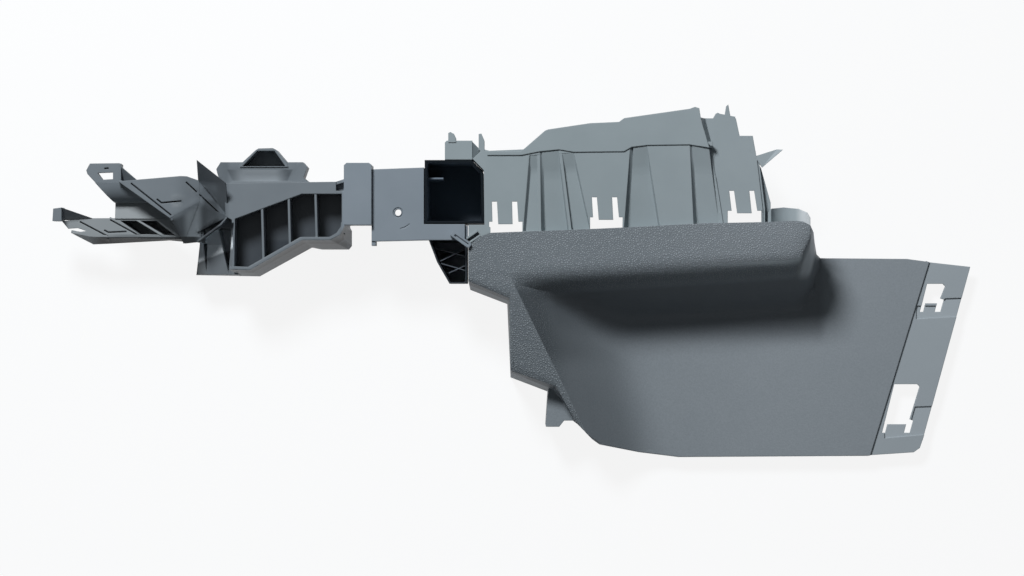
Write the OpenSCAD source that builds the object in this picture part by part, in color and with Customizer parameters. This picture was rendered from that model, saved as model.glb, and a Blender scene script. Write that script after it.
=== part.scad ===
// Side trim for a car's luggage bay, lying on its back with the show face up.
// The grained side panel has a hand recess under its ledge and a mounting plate behind it.
// The support arm with its rail, ribbed box and fork clips to the panel's left end,
// and a black pocket stands in the opening between the two.
// Millimetres, +Z towards the show face. The origin is the centre of the rail's screw hole,
// on the rail's top face, and +X runs along the trim to the panel's flange.

/* [Moulding] */
// Thickness of the panel and of the arm's plates
wall = 2.4; // [1.8:0.1:3]
// Thickness of the stiffening ribs
rib = 1.8; // [1.2:0.1:2.4]
// Height of the rail's top face over the surface that the trim lies on
lie_height = 66; // [60:1:76]
// Clearance between the separate mouldings
clearance = 0.3; // [0.2:0.05:0.4]

/* [Side panel] */
// Height of the ledge over the rail's top face
ledge_height = 12; // [8:0.5:16]
// Depth of the recess below the ledge
recess_depth = 64; // [50:1:68]
// Length of the panel along its lower edge, from its left edge to the flange
panel_length = 329; // [310:1:360]
// Distance from the screw hole down to the panel's lower edge
panel_drop = 199; // [190:1:215]
// Steepness of the wall under the ledge, as its fall over its run
ledge_wall_slope = 1.5; // [1.2:0.05:2]
// Steepness of the ledge's right end, against that of the wall under it
ledge_end_steep = 2.8; // [2:0.1:3.2]
// Radius of the ledge's corner in plan, measured along its right end
ledge_corner_r = 30; // [18:1:36]
// Steepness of the ramp that falls from the crease to the recess floor
ramp_slope = 0.78; // [0.66:0.02:0.96]
// Fall of the grained strip per millimetre, from the ledge to its lower tip
strip_fall = 0.24; // [0.1:0.02:0.3]
// Radius of the ledge's front edge
ledge_radius = 7; // [4:0.5:9]
// Softness of the blend into the recess floor
floor_blend = 11; // [6:1:20]
// Outward lean of the turned-down edges on the two steps
return_flare = 7; // [3:0.5:9]

/* [Right flange] */
// How far the flange is set back from the panel's face
flange_setback = 1.6; // [1.2:0.2:3]
// Width of the flange at its upper end
flange_width = 34; // [28:1:40]
// Width of the slots beside the flange's clip tongues
flange_slot = 2.8; // [2:0.2:3.4]

/* [Mounting plate] */
// Height of the plate over the rail's top face
plate_height = 6; // [4:0.5:8]
// Step up from the plate to its upper flange
upper_step = 1; // [0.75:0.25:2]
// Step down from the plate to the pad at its right end
pad_step = 8; // [5:0.5:10]
// Depth of the shallow stiffening channel
channel_shallow = 3.5; // [2.5:0.25:5]
// Depth of the deep stiffening channels
channel_deep = 7.5; // [6:0.25:9]
// Depth of the channels at their upper ends
channel_end = 2.75; // [1:0.25:3.5]
// Width of each spring tongue in the plate's windows
tongue_width = 11.5; // [9:0.5:13]
// Width of the slots beside the spring tongues
tongue_slot = 4.6; // [3:0.2:5]
// Length of the slots beside the spring tongues
tongue_length = 16; // [12:0.5:18]

/* [Rail] */
// Distance from the screw hole to the rail's left end
rail_left = 21; // [18:0.5:26]
// Distance from the screw hole to the pocket
rail_right = 21; // [16:0.5:26]
// Width of the rail's plate
rail_width = 59; // [57:0.5:64]
// Depth of the rail's side walls
rail_wall_depth = 22; // [14:1:30]
// Diameter of the screw hole
screw_hole_d = 5.2; // [4.2:0.1:6.4]
// Outside diameter of the shallow ring around the screw hole
screw_ring_d = 8; // [7.6:0.1:10]
// Width of the raised block beside the rail
block_width = 22; // [18:0.5:26]
// Height of the raised block over the rail
block_height = 5; // [3:0.5:8]

/* [Pocket] */
// Width of the pocket's opening, outside
pocket_width = 48; // [44:0.5:52]
// Length of the pocket's opening across the rail, outside
pocket_length = 51; // [48:0.5:54]
// Thickness of the pocket's walls
pocket_wall = 2; // [1.4:0.1:2.4]

/* [Ribbed box] */
// Depth of the cells between the ribs
cell_depth = 24; // [18:1:54]
// Number of ribs across the cells
rib_count = 3; // [2:1:5]

/* [Fork] */
// Height of the upright fin over the fork's plate
fin_height = 20; // [12:1:24]
// Depth of the lower arm below the rail's top face
lower_arm_depth = 20; // [14:1:26]
// Thickness of the fork's plates
fork_wall = 2; // [1.5:0.1:2.6]

/* [Hidden] */
$fn = 48;
over = 1;
panel_grey = "slategray";
arm_grey = "lightslategray";
pocket_black = "black";
table = -lie_height;

// The rail's plate reaches from its lower edge to its upper edge
rail_low = -23;
rail_high = rail_low + rail_width;
pocket_low = -9;
pocket_high = pocket_low + pocket_length;
joint_gap = 35.5;
panel_x = rail_right + joint_gap;
arm_end = panel_x - 3;
floor_z = ledge_height - recess_depth;
flange_z = floor_z - flange_setback;

function unit(v) = v / norm(v);
function right_of(a, b) = unit([b[1] - a[1], a[0] - b[0]]);
function blend(a, b, k) = a + (b - a) * k;

// Outward mitre at each point of a path, where the outside lies to the right of its direction
function mitre(p, i, closed = false) =
    let (
        n = len(p),
        first = !closed && i == 0,
        last = !closed && i == n - 1,
        before = first ? right_of(p[0], p[1]) : right_of(p[(i + n - 1) % n], p[i]),
        after = last ? before : right_of(p[i], p[(i + 1) % n])
    )
    (before + after) / (1 + before * after);

// A counter-clockwise outline grown by a distance, with mitred corners
function grow(p, d) = [for (i = [0:len(p) - 1]) p[i] + d * mitre(p, i, true)];

// A band of even width along a path, to the left of its direction
function band(p, w) =
    concat(p, [for (i = [len(p) - 1:-1:0]) p[i] - w * mitre(p, i)]);

function shifted(p, v) = [for (q = p) q + v];

// A path made longer at both ends
function extended(p, d) =
    let (n = len(p) - 1)
    [
        for (i = [0:n])
            i == 0 ? p[0] - d * unit(p[1] - p[0]) : (i == n ? p[n] + d * unit(p[n] - p[n - 1]) : p[i])
    ];

module slab(outline, top, thick) {
    translate([0, 0, top - thick])
        linear_extrude(thick)
            polygon(outline);
}

// A wall of even thickness that follows a path between two heights
module wall_along(path, low, high, thick) {
    translate([0, 0, low])
        linear_extrude(high - low)
            polygon(band(path, thick));
}

// A plate whose top corners each have their own height
module sloped_plate(corners, thick) {
    n = len(corners);
    down = [for (c = corners) c - [0, 0, thick]];
    polyhedron(
        points = concat(corners, down),
        faces = concat(
            [[for (i = [n - 1:-1:0]) i]],
            [[for (i = [0:n - 1]) n + i]],
            [for (i = [0:n - 1]) [i, (i + 1) % n, n + (i + 1) % n, n + i]]
        )
    );
}

// A solid between two outlines with as many corners, at two heights
module tapered(low_outline, low, high_outline, high) {
    n = len(high_outline);
    polyhedron(
        points = concat(
            [for (q = high_outline) [q[0], q[1], high]],
            [for (q = low_outline) [q[0], q[1], low]]
        ),
        faces = concat(
            [[for (i = [n - 1:-1:0]) i]],
            [[for (i = [0:n - 1]) n + i]],
            [
                for (i = [0:n - 1])
                    let (j = (i + 1) % n)
                    each [[i, j, n + j], [i, n + j, n + i]]
            ]
        )
    );
}

// A solid between a sloped outline, given by its corners, and a level one above it
module loft(low_corners, high_outline, high) {
    hull() {
        sloped_plate(low_corners, 0.01);
        slab(high_outline, high, 0.01);
    }
}

// Panel outline, in the panel's own frame with x from its left edge
ledge_corner = [[0, -27], [9, -19.5], [17, -16.5]];
ledge_back = [[58, -15], [96.5, -13.5], [130, -12], [184, -9], [233.5, -8], [259.5, -7]];
ledge_turn = [[266, -7.5], [272, -10.5], [276, -16], [278.5, -24], [283, -33], [288, -36]];
panel_top_right = [panel_length + 48.5, -39];
top_edge = concat(ledge_corner, ledge_back, ledge_turn, [[298.5, -36], [358.5, -36.5], panel_top_right]);
step_one = [[0, -55], [32.5, -68.5]];
step_two = [[33.5, -126.5], [70, -139.5]];
strip_tip = [[85.5, -167], [95, -178]];
low_corner = [
    [101, (strip_tip[1][1] + 12 - panel_drop) / 2], [107, 12 - panel_drop],
    for (k = [1:4]) [107 + 6.6 * k, 12 - 1.6 * k - panel_drop],
    [140, 4 - panel_drop], [156, 2 - panel_drop], [172.5, -panel_drop],
    [panel_length, 1 - panel_drop]
];
low_edge = concat(step_one, step_two, strip_tip, low_corner);
edge_for_rows = concat(
    [for (q = low_edge) if (q[0] < panel_length) q],
    [[panel_top_right[0], 1 - panel_drop]]
);
flange_lean = (panel_top_right[0] - panel_length) / (panel_drop - 40);
lean_from = 300;

// Heights of the show face, as depths below the ledge
ledge_front_left = -54;
ledge_front_rise = 0.069;
ledge_end_x = 273.5;
crease_top = [41, -67];
crease_run = (strip_tip[1][0] - crease_top[0]) / (crease_top[1] - strip_tip[1][1]);
strip_bend_y = -60;
edge_roll = 4;
edge_roll_drop = 1.2;

// A fall that starts softly over a radius and then keeps its slope
function soft_fall(s, r, slope) =
    s <= -r ? 0 : (s >= r ? slope * s : slope * (s + r) * (s + r) / (4 * r));
function soft_min(a, b, k) =
    let (
        kk = min(k, max(a, b)),
        h = kk > 0 ? max(kk - abs(a - b), 0) / kk : 0
    )
    min(a, b) - h * h * kk / 4;
function crease_x(y) = crease_top[0] + (crease_top[1] - y) * crease_run;
function ledge_front(x) = ledge_front_left + ledge_front_rise * (x - crease_top[0]);
function strip_depth(y) = soft_fall(strip_bend_y - y, 14, strip_fall);
function roll_depth(x, y) =
    let (s = (y - lookup(x, edge_for_rows)) / edge_roll)
    x < strip_tip[1][0] && s < 1 ? edge_roll_drop * (1 - s) * (1 - s) : 0;
function ledge_depth(x, y) =
    let (
        forward = ledge_front(x) - y + ledge_corner_r,
        sideways = (x - ledge_end_x) * ledge_end_steep + ledge_corner_r
    )
    soft_fall(norm([max(forward, 0), max(sideways, 0)]) - ledge_corner_r, ledge_radius, ledge_wall_slope);
function ramp_depth(x, y) = soft_fall(x - crease_x(y), 0.8, ramp_slope);
function face_depth(x, y) =
    soft_min(
        strip_depth(y) + soft_min(ledge_depth(x, y), ramp_depth(x, y), 16),
        recess_depth,
        floor_blend
    ) + roll_depth(x, y);
function face_z(x, y) = ledge_height - face_depth(x, y);
function face_normal(x, y) =
    unit([
        (face_z(x - 0.5, y) - face_z(x + 0.5, y)),
        (face_z(x, y - 0.5) - face_z(x, y + 0.5)),
        1
    ]);

// Stations along the panel and rows across it, closer where the face bends
station_marks = concat(
    [0, 17, 32.5, 33.5, 58, 70, 85.5, 95, 107, 140, 172.5, 233.5, 259.5],
    [266, 272, 276, 278.5, 283, 288, 298.5, 358.5, panel_top_right[0]]
);
station_step = 10;
stations = concat(
    [
        for (i = [0:len(station_marks) - 2])
            let (
                a = station_marks[i],
                b = station_marks[i + 1],
                n = ceil((b - a) / station_step)
            )
            for (k = [0:n - 1]) blend(a, b, k / n)
    ],
    [panel_top_right[0]]
);
rows = concat(
    [0, 0.025, 0.06],
    [for (v = [0.15:0.1:0.45]) v],
    [for (v = [0.49:0.03:0.9]) v],
    [0.95, 1]
);

// The rows meet at a line above the recess wall, so the step in the outline stays out of the ledge
rows_split = 0.49;
split_line = [[0, -50], [32.5, -58], [33.5, -58], [107, -104], [panel_top_right[0], -120]];

// One station starts at the strip's tip and follows the crease; its neighbours lean with it
lean_to = 233.5;
tip_x = strip_tip[1][0];
function head_x(x) =
    x <= step_two[0][0] || x >= lean_to ? x :
    x <= tip_x ? blend(step_two[0][0], crease_top[0], (x - step_two[0][0]) / (tip_x - step_two[0][0])) :
    blend(crease_top[0], lean_to, (x - tip_x) / (lean_to - tip_x));
function station_y(x, v) =
    v < rows_split
        ? blend(lookup(x, edge_for_rows), lookup(x, split_line), v / rows_split)
        : blend(lookup(x, split_line), lookup(head_x(x), top_edge), (v - rows_split) / (1 - rows_split));
function station_x(x, y) =
    let (
        low = lookup(x, edge_for_rows),
        up = min(1, (y - low) / (crease_top[1] - low)),
        w = max(0, (x - lean_from) / (panel_top_right[0] - lean_from))
    )
    blend(x, head_x(x), up) - w * (panel_top_right[1] - y) * flange_lean;

module show_face() {
    n = len(rows);
    m = len(stations);
    places = [
        for (x = stations)
            for (v = rows)
                let (y = station_y(x, v))
                [station_x(x, y), y]
    ];
    face = [for (q = places) [q[0], q[1], face_z(q[0], q[1])]];
    back = [for (q = face) q - wall * face_normal(q[0], q[1])];
    b = n * m;
    polyhedron(
        points = concat(face, back),
        faces = concat(
            [
                for (i = [0:m - 2])
                    for (j = [0:n - 2])
                        let (p = i * n + j)
                        each [
                            [p, p + 1, p + n + 1], [p, p + n + 1, p + n],
                            [b + p + n + 1, b + p + 1, b + p], [b + p + n, b + p + n + 1, b + p]
                        ]
            ],
            [
                for (i = [0:m - 2])
                    let (p = i * n, q = i * n + n - 1)
                    each [
                        [p, p + n, b + p + n], [p, b + p + n, b + p],
                        [q + n, q, b + q], [q + n, b + q, b + q + n]
                    ]
            ],
            [
                for (j = [0:n - 2])
                    let (q = (m - 1) * n + j)
                    each [
                        [j + 1, j, b + j], [j + 1, b + j, b + j + 1],
                        [q, q + 1, b + q + 1], [q, b + q + 1, b + q]
                    ]
            ]
        )
    );
}

// A wall through rings of four corners each: top outside, foot outside, foot inside, top inside
module ring_wall(rings) {
    n = len(rings);
    polyhedron(
        points = [for (r = rings) each r],
        faces = concat(
            [[0, 1, 2], [0, 2, 3]],
            [[for (k = [3, 2, 1]) 4 * (n - 1) + k], [for (k = [3, 1, 0]) 4 * (n - 1) + k]],
            [
                for (i = [0:n - 2])
                    for (k = [0:3])
                        let (p = 4 * i + k, q = 4 * i + (k + 1) % 4)
                        each [[p, q + 4, q], [p, p + 4, q + 4]]
            ]
        )
    );
}

// The turned-down edge that follows the panel's left and lower outline
edge_path = concat([[0, -27]], low_edge);
edge_lean = concat(
    [[-0.5, 0], [0.3, -8], [-2, -6], [0, -9], [-4, -8.5], [-1.5, -1.5]],
    [for (i = [6:len(edge_path) - 1]) [0, -1.5]]
) * return_flare / 8;
module turned_edge() {
    ring_wall([
        for (i = [0:len(edge_path) - 1])
            let (
                p = edge_path[i],
                thick = wall * mitre(edge_path, i),
                inner = p - thick,
                foot = p + edge_lean[i],
                top = face_z(p[0], p[1]) - 0.2,
                inner_top = min(top, face_z(inner[0], inner[1]) - 0.4)
            )
            [
                [p[0], p[1], top],
                [foot[0], foot[1], table],
                [foot[0] - thick[0], foot[1] - thick[1], table],
                [inner[0], inner[1], inner_top]
            ]
    ]);
}

// A window with a spring tongue that hangs between two slots, x from its left edge
function tongue_window(w, h, lean) =
    let (
        left = (w - tongue_width) / 2 - tongue_slot - 0.3,
        mid = left + tongue_slot,
        right = mid + tongue_width,
        far = right + tongue_slot
    )
    [
        [0, 0], [w, 0], [w, h], [far, h], [far - lean, h + tongue_length],
        [right + 0.6 - lean, h + tongue_length], [right, h - 2], [mid, h - 2],
        [mid - lean, h + tongue_length], [left + 0.6 - lean, h + tongue_length], [left, h], [0, h]
    ];
windows = [
    [[16.5, -16.5], 26.5, 9, 1],
    [[97, -14.5], 26, 10.5, 1.5],
    [[207.5, -9.5], 27.5, 11, 2.5]
];

// Outlines of the mounting plate, in the panel's frame
flange_foot = [
    [192, 51.5], [176, 54], [142.5, 53.5], [130, 52], [124, 48.5], [84, 48], [72, 50], [57, 48.5],
    [42, 45.5], [15, 45.5]
];
flange_head = [
    [15, 48.5], [42, 48.5], [61, 65], [63.5, 66], [97, 71], [120, 72], [124, 75], [176.5, 82.5],
    [180.5, 84], [184, 83], [185.5, 73.5]
];
upper_flange = concat([for (i = [len(flange_head) - 1:-1:0]) flange_head[i]],
    [for (i = [len(flange_foot) - 1:-1:0]) flange_foot[i]]);
pocket_edge = pocket_width - joint_gap + clearance;
plate_outline = [
    [pocket_edge, -19], [202, -10], [190.5, 56], [15, 49], [10, 49],
    [pocket_edge - 9.5, pocket_high + clearance + 0.3], [pocket_edge - 0.6, pocket_high - 8.5]
];
pad_outline = [
    [201, -10], [235.5, -10], [235.5, 3.5], [231, 42], [227.5, 61.5], [217, 61.5], [214, 75.5],
    [188, 75.5], [186, 72], [192, 51.5]
];
shallow_channel = [[43.5, -15], [97.5, -14], [84, 47.5], [48.5, 45.5]];
deep_channels = [
    [[58, -15.5], [80, -14.5], [72, 49.5], [57, 48]],
    [[124, -12.5], [152.5, -11], [142.5, 53], [129, 52]],
    [[179.5, -9.5], [202, -9], [192.6, 54], [176.5, 54]]
];
pad_tab = [[195.5, 75], [197.9, 79.2], [199.5, 80], [201.1, 79.2], [213.5, 76.8], [213.5, 75]];
pad_prong = [[204.6, 75], [206.3, 85.2], [207.9, 86.6], [210, 75]];

// The channel's left wall leans, so its floor is narrower than its mouth, and the floor rises to
// the upper flange
function channel_floor(p, lean) =
    [p[0] + [lean, 0], p[1] - [0.8, 0], p[2] - [0.8, 0.8], p[3] + [lean, -0.8]];
function at_depths(bed, near, far) =
    [for (i = [0:3]) [bed[i][0], bed[i][1], plate_height - (i < 2 ? near : far)]];

module channel(mouth, depth, lean) {
    bed = channel_floor(mouth, lean);
    difference() {
        loft(at_depths(grow(bed, wall), depth + wall, channel_end + wall), grow(mouth, wall),
            plate_height - 0.1);
        loft(at_depths(bed, depth, channel_end), mouth, plate_height + 0.1);
    }
}

module mounting_plate() {
    difference() {
        union() {
            difference() {
                slab(plate_outline, plate_height, wall);
                slab(shallow_channel, plate_height + over, wall + 2 * over);
                for (c = deep_channels)
                    slab(c, plate_height + over, wall + 2 * over);
            }
            difference() {
                channel(shallow_channel, channel_shallow, 2.2);
                slab(deep_channels[0], plate_height + over, 30);
            }
            difference() {
                for (c = deep_channels)
                    channel(c, channel_deep, 3);
                slab([[201.2, -14], [214, -14], [204, 53], [191.8, 53]],
                    plate_height + over, pad_step + over - 1);
            }
            slab(upper_flange, plate_height + upper_step, wall + upper_step);
            for (outline = [pad_outline, pad_tab, pad_prong])
                slab(outline, plate_height - pad_step, wall);
            wall_along([[203, -10], [194.4, 51]],
                plate_height - pad_step - wall, plate_height - pad_step + 0.8, wall);
            sloped_plate(
                [
                    [185.3, 75.5, plate_height + 0.9], [191.6, 51.5, plate_height + 0.9],
                    [195.4, 51.5, plate_height - pad_step], [189.1, 75.5, plate_height - pad_step]
                ],
                wall
            );
        }
        for (w = windows)
            translate([w[0][0], w[0][1], -20])
                linear_extrude(60)
                    polygon(tongue_window(w[1], w[2], w[3]));
    }
}

// The wall that closes the step between the ledge and the mounting plate behind it
module ledge_back_wall() {
    back = concat([ledge_corner[2]], ledge_back);
    wall_along([for (i = [len(back) - 1:-1:0]) back[i]], plate_height - pad_step - wall,
        ledge_height - wall / 2, wall);
}

// The trough that runs in under the ledge's right end
trough_x = 256.5;
trough_r = 18;
trough_end = [
    [238, -13], [239.4, -0.4], [242.7, 3.2], [253, 4.4], [265, 3.2], [271, 0], [274.5, -6], [274.5, -13]
];
module rear_trough() {
    intersection() {
        translate([trough_x, -12, plate_height])
            rotate([-90, 0, 0])
                difference() {
                    cylinder(r = trough_r, h = 20);
                    translate([0, 0, -over])
                        cylinder(r = trough_r - wall, h = 20 + 2 * over);
                }
        slab(trough_end, plate_height - 6, 30);
    }
}

// The box behind the pocket, with a face that falls away to its right and two upright prongs
box_fall = 9;
box_depth = 34;
left_prong = [[-16.3, 56], [-10.1, 56], [-10.1, 59.6], [-11.7, 62.8], [-14.5, 64.4], [-16.3, 63.6]];
right_prong = [[8.1, 50], [12.7, 46.5], [12.7, 57.2], [10.3, 62.8], [8.1, 62.4]];
module back_box() {
    low = pocket_high + clearance;
    outline = [[-19, low], [12, low], [12, 48], [2.5, 57.5], [-17.5, 57.5], [-19, 56]];
    slab([[-19, low], [3, low], [3, 57.5], [-17.5, 57.5], [-19, 56]], 0, wall);
    sloped_plate(
        [[2.5, low + 0.4, 0], [11.7, low + 0.4, -box_fall], [11.7, 47.7, -box_fall], [2.5, 57.1, 0]], wall
    );
    difference() {
        slab(outline, -box_fall - 0.5, box_depth - box_fall);
        slab(grow(outline, -wall), 0, box_depth + 10);
    }
    wall_along([[2.6, 57.5], [-17.5, 57.5], [-19, 56], [-19, low], [3.4, low]],
        -box_fall - 1, -wall / 2, wall);
    slab([[9, 43.5], [17, 45.5], [17, 49], [9, 51]], plate_height - 0.2, plate_height + box_fall + wall);
    for (prong = [left_prong, right_prong])
        slab(prong, plate_height, box_fall + plate_height + wall);
}

// The catch at the plate's right end, a folded tongue that reaches outwards
module side_catch() {
    top = plate_height - pad_step;
    sloped_plate(
        [[229, 45, top], [235, 36, top + 1], [252, 50.5, top - 2], [247, 50.8, top - 4]], fork_wall
    );
    slab([[232, 41], [234.8, 36], [242.6, 8], [242.6, -9], [235.6, -9], [235.6, 4]], top - 7, wall);
    wall_along([[237.5, -9], [237.5, 3.5], [232.7, 42]], top - 8, top - wall / 2, wall);
}

flange_outline = [
    [panel_length - 2, 1 - panel_drop], [panel_length + 36, 3.5 - panel_drop],
    [panel_length + 41, 7 - panel_drop], [panel_length + 44, 15.5 - panel_drop],
    panel_top_right + [flange_width, -4], panel_top_right + [-2, 0]
];
function flange_window(w, h, reach) =
    let (s = flange_slot, l = 0.25)
    [
        [0, 0], [-l * (h + reach), -(h + reach)], [s - l * (h + reach), -(h + reach)],
        [s - l * h, -h], [w - s - l * h, -h], [w - s - l * (h + reach), -(h + reach)],
        [w + 2 - l * (h + reach), -(h + reach)], [w + 3 - l * h, -h + 3], [w - l * h, -h + 4],
        [w, -2], [w - 2, 0]
    ];

flange_step = 1.1;
module right_flange() {
    difference() {
        slab(flange_outline, flange_z, wall);
        translate([panel_top_right[0] - 1.5, -57, flange_z - 10])
            linear_extrude(20)
                polygon(flange_window(15, 16, 7));
        translate([panel_length + 20, 59.5 - panel_drop, flange_z - 10])
            linear_extrude(20)
                polygon(flange_window(21, 33, 7));
        slab(shifted([[38, -75], [38, -86], [73, -84], [77, -68.5], [62, -69], [57, -75]],
            [panel_length, 0]), flange_z + over, over + flange_step);
        slab(shifted([[12, 29], [12, 15], [45, 18], [52, 41.5], [37, 41], [33, 27]],
            [panel_length, -panel_drop]), flange_z + over, over + flange_step);
    }
    wall_along([[panel_length - 0.2, 1 - panel_drop], panel_top_right + [-0.2, 0]],
        flange_z - wall, floor_z - 0.3, wall);
}

// The small lug that shows behind the lower step
lug_height = 30;
lug_left = [strip_tip[0] - [21.5, 6], step_two[1] - [4, 2.5]];
lug_outline = concat(
    [lug_left[0]],
    [for (d = [[-12.5, -6], [-8.5, -1], [-1.5, -1], [2.5, -4], [7.5, -9], [-1.5, 9]]) strip_tip[0] + d],
    [step_two[1] + [-4, -0.5]]
);
module low_lug() {
    slab(lug_outline, table + lug_height, wall);
    wall_along(lug_left, table, table + lug_height, rib);
}

// Ribs across the hollow back, tied to the turned edge
back_rib_count = 4;
back_rib_first = 150;
module back_ribs() {
    for (k = [0:back_rib_count - 1])
        let (x = blend(back_rib_first, panel_length - 7, k / (back_rib_count - 1)))
            wall_along([[x, lookup(x, edge_for_rows) + 1], [x, 84 - panel_drop]],
                table + 4, floor_z - wall + 0.5, rib);
}

// The corner that the strap laps over, and the wall that closes the joint around the pocket
strap_slot = [[-0.4, -22.6], [8.2, -16.6]];
module joint_corner() {
    difference() {
        union() {
            slab([[0, -28], [0, -10], [14, -10], [17.5, -12], [17.5, -17], [10, -20]], plate_height, wall);
            slab(band(shifted(strap_slot, 2.8 * right_of(strap_slot[0], strap_slot[1])), 5.6),
                plate_height + 1.6, 9);
        }
        slab(band(shifted(strap_slot, 1.2 * right_of(strap_slot[0], strap_slot[1])), 2.4),
            plate_height + 1.6 + over, 7 + over);
    }
    wall_along(
        [
            [pocket_edge - 9.5, pocket_high + clearance + 0.3], [pocket_edge - 0.6, pocket_high - 8.5],
            [pocket_edge, -10]
        ],
        -box_depth, plate_height - wall / 2, rib
    );
}

module side_panel() {
    color(panel_grey)
        translate([panel_x, 0, 0]) {
            show_face();
            turned_edge();
            mounting_plate();
            ledge_back_wall();
            rear_trough();
            back_box();
            side_catch();
            right_flange();
            low_lug();
            back_ribs();
            joint_corner();
        }
}

// Support arm, rail and block
boss_depth = 8;
module rail() {
    edge = [
        [-rail_left, rail_low], [panel_x - 33, rail_low + 1], [arm_end, rail_low + 1],
        [arm_end, pocket_low - clearance], [rail_right - clearance, pocket_low - clearance],
        [rail_right - clearance, rail_high], [-rail_left, rail_high - 1.5]
    ];
    difference() {
        union() {
            slab(edge, 0, wall);
            wall_along([[rail_right - clearance, rail_high], [-rail_left, rail_high - 1.5]],
                -rail_wall_depth, -wall / 2, wall);
            wall_along([[-rail_left, rail_low], [panel_x - 33, rail_low + 1], [arm_end, rail_low + 1]],
                -rail_wall_depth, -wall / 2, wall);
            wall_along(
                [
                    [arm_end, pocket_low - clearance], [rail_right - clearance, pocket_low - clearance],
                    [rail_right - clearance, rail_high]
                ],
                -2 * rail_wall_depth, -wall / 2, rib
            );
            slab([[arm_end - over, rail_low + 1], [panel_x - 2 * clearance, rail_low + 1],
                [panel_x - 2 * clearance, pocket_low - 1.5], [arm_end - over, pocket_low - 1.5]], -3, wall);
            wall_along([[arm_end, rail_low + 1], [arm_end, pocket_low - 1.5]], -3 - wall, -wall / 2, rib);
            translate([0, 0, -boss_depth])
                cylinder(d = screw_ring_d + 4, h = boss_depth - wall / 2);
        }
        translate([0, 0, -20])
            cylinder(d = screw_hole_d, h = 40);
        translate([0, 0, -0.6])
            difference() {
                cylinder(d = screw_ring_d, h = 2);
                cylinder(d = screw_hole_d + 1.2, h = 2);
            }
        intersection() {
            translate([0, 0, -0.4])
                difference() {
                    cylinder(r = 13.4, h = 2);
                    cylinder(r = 12.6, h = 2);
                }
            slab([[0, 0], [3, -20], [20, -20]], over, 2 * over);
        }
    }
}

module block() {
    left = -rail_left - block_width;
    outline = [
        [left, -10], [-rail_left, -10], [-rail_left, 38], [-rail_left - 2, 39.5], [left + 2, 39.5],
        [left, 37.5]
    ];
    difference() {
        slab(outline, block_height, 30);
        translate([0, 0, -wall])
            slab(grow(outline, -wall), block_height, 40);
    }
    slab([[-0.2, -26.5], [3, -26.5], [3, -9], [-0.2, -9]] - [for (k = [1:4]) [rail_left, 0]], -1, 20);
}

// A wall whose foot follows a path of its own, where the outside lies to the right. Its top may
// be level, or have a height for each corner
module flared_wall(head, foot, high, low, thick) {
    ring_wall([
        for (i = [0:len(head) - 1])
            let (
                in = -thick * mitre(head, i),
                h = head[i],
                f = foot[i],
                top = is_list(high) ? high[i] : high
            )
            [
                [h[0], h[1], top],
                [f[0], f[1], low],
                [f[0] + in[0], f[1] + in[1], low],
                [h[0] + in[0], h[1] + in[1], top]
            ]
    ]);
}

// Ribbed box, in its own frame with x from its right end
box_x = -rail_left - block_width;
cell_outline = [
    [-88, -43], [-76, -43.5], [-34, -19.5], [-12, -19.5], [-5, -16], [-2, -10], [-2, 15], [-34, 15],
    [-87.5, -5]
];
deck_outline = [
    [-95, -3], [-88, -7], [-34, 14], [-6.6, 14], [-6.6, 24.6], [-96, 23.5]
];
low_deck = [[-7, 13], [0.5, 13], [0.5, 27], [-7, 24.6]];
skirt_head = [
    [-92, -45.5], [-76.7, -46], [-34.7, -22], [-24, -22], [-11, -22], [-4.5, -18], [-0.5, -12], [-0.2, -8]
];
skirt_foot = [
    [-92, -50.5], [-74.3, -50.8], [-31.2, -27], [-23, -28.6], [-0.6, -28.6], [1.8, -25.7], [1.8, -13.3],
    [-1, -8]
];

module ribbed_box() {
    difference() {
        union() {
            slab(grow(cell_outline, wall), 0, lie_height);
            slab(deck_outline, 0, wall);
            slab(low_deck, -7, wall);
            wall_along([[0.5, 27], [-7, 24.6], [-96, 23.5], [-95, -3]], -34, -wall / 2, wall);
        }
        slab(cell_outline, over, cell_depth + over);
        slab(cell_outline, -cell_depth - wall, lie_height);
        slab([[-95, -47], [-88.4, -47], [-88.4, -8], [-95, -10]], over, over + 9);
    }
    cross_ribs();
    flared_wall(skirt_head, skirt_foot, -0.3, table, wall);
    left_end();
    difference() {
        union() {
            rear_plate();
            hood();
        }
        slab(hood_mouth, rear_z + hood_rise + over, hood_depth - wall + over);
    }
}

module cross_ribs() {
    intersection() {
        slab(grow(cell_outline, 0.2), -0.4, cell_depth + wall / 2);
        for (i = [1:rib_count])
            translate([blend(-88, -2, i / (rib_count + 1)) + 1.5, -60, -cell_depth - wall])
                rotate([0, 0, 1.5])
                    cube([rib, 100, cell_depth + wall]);
    }
}

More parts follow.
